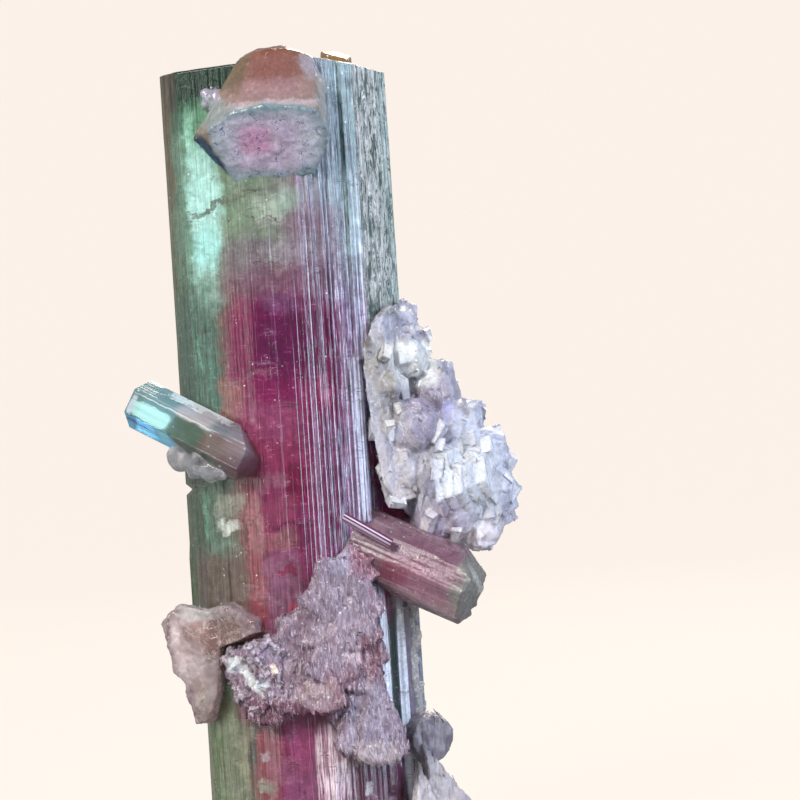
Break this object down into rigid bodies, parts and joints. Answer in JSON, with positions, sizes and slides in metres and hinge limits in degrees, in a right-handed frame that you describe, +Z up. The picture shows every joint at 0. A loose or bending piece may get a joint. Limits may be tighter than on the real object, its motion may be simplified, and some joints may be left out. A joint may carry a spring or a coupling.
{
  "type": "watermelon tourmaline crystal",
  "caption": "Upright striated tourmaline prism with a green rind and a pink core, crossed by smaller crystals, with lilac mica, white albite and quartz grown on it.",
  "frame": {"origin": "centre of the cut base, on the long axis of the main prism", "axes": "+Z up the long axis, -Y towards the front that the small crystals cross, +X to the right seen from the front"},
  "size_m": [0.0453, 0.0274, 0.0966],
  "materials": {
    "tourmaline": "glossy, see-through green to pink tourmaline with fine striations",
    "mica": "pearly lilac mica books",
    "albite": "glassy white blades",
    "quartz": "cloudy, slightly pink quartz"
  },
  "bodies": {
    "root": {"tourmaline": "tourmaline", "lepidolite_rosette": "mica", "lepidolite_apron": "mica", "lepidolite_books": "mica", "albite_sprig": "albite", "quartz_plate": "quartz", "quartz_bud": "quartz"}
  },
  "joints": []
}
